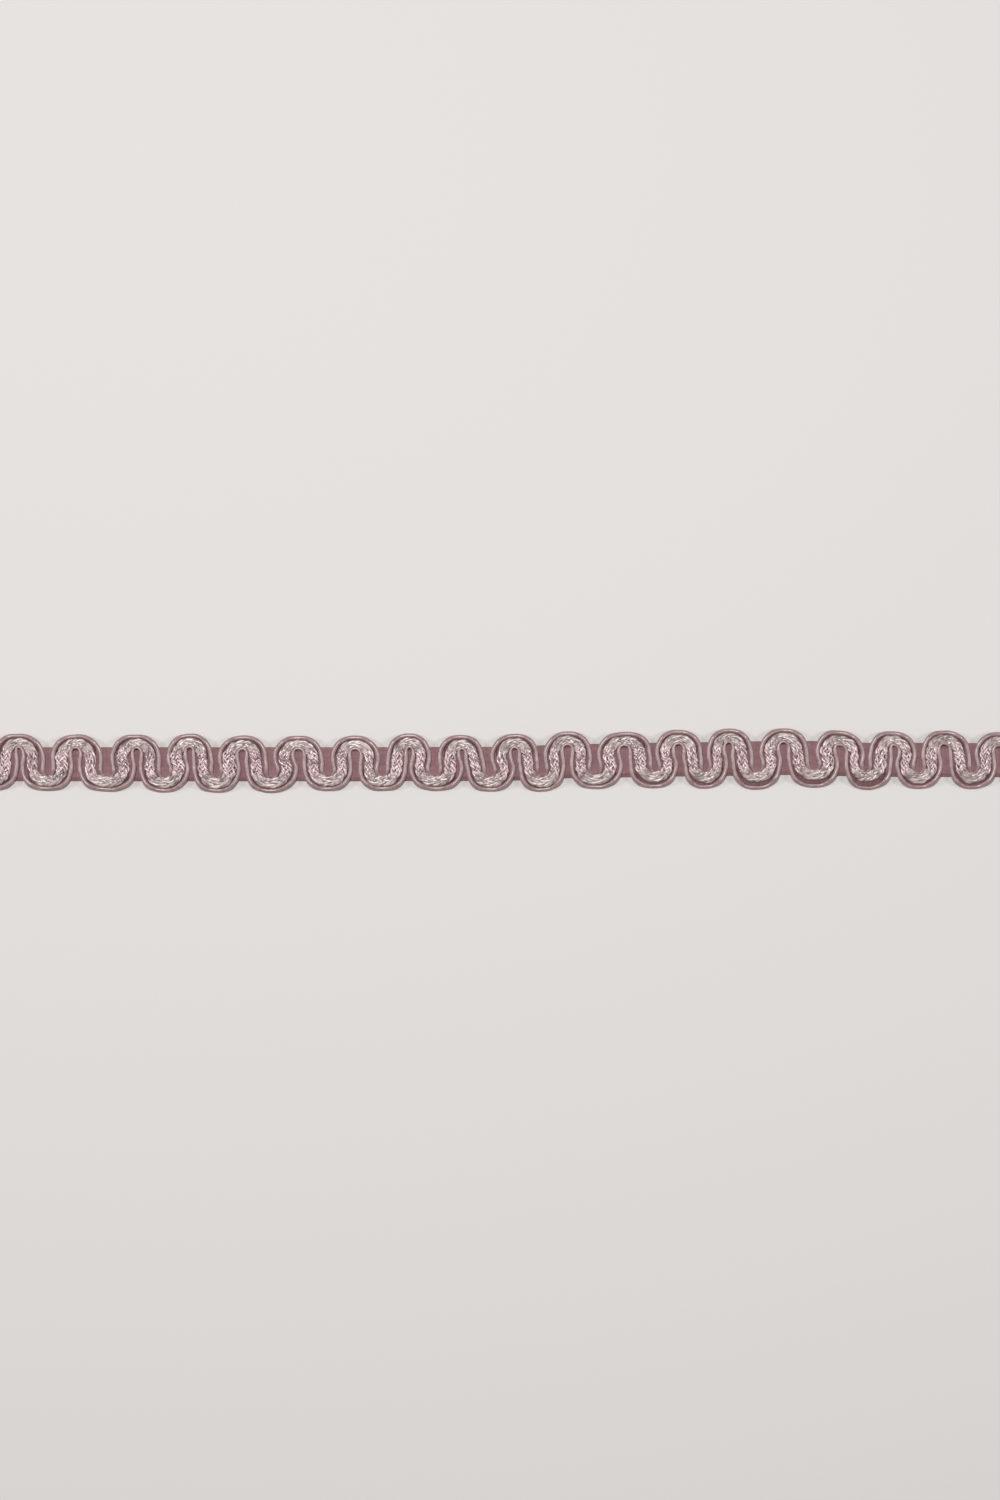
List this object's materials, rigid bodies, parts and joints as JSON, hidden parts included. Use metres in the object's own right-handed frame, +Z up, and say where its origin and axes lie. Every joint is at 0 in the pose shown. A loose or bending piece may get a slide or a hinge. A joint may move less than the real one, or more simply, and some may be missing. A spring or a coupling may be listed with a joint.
{
  "type": "scroll gimp braid trimming",
  "caption": "Cut length of flat scroll gimp: a lustrous plait winding in even bends between two smooth cords, bound to a narrow ground.",
  "frame": {"origin": "under the middle of the trimming's box, on the surface that it lies on", "axes": "+X along the trimming, +Y across it, +Z up out of its face"},
  "size_m": [0.2616, 0.0164, 0.0025],
  "materials": {
    "binding_thread": "matt fine binding threads, dull mauve",
    "viscose_plait": "lustrous plaited viscose, dusty ivory rose",
    "gimp_cord": "closely wrapped satin cord, dusty rose"
  },
  "bodies": {
    "root": {"ground_strip": "binding_thread", "centre_plait": "viscose_plait", "gimp_cord_upper": "gimp_cord", "gimp_cord_lower": "gimp_cord"}
  },
  "joints": []
}
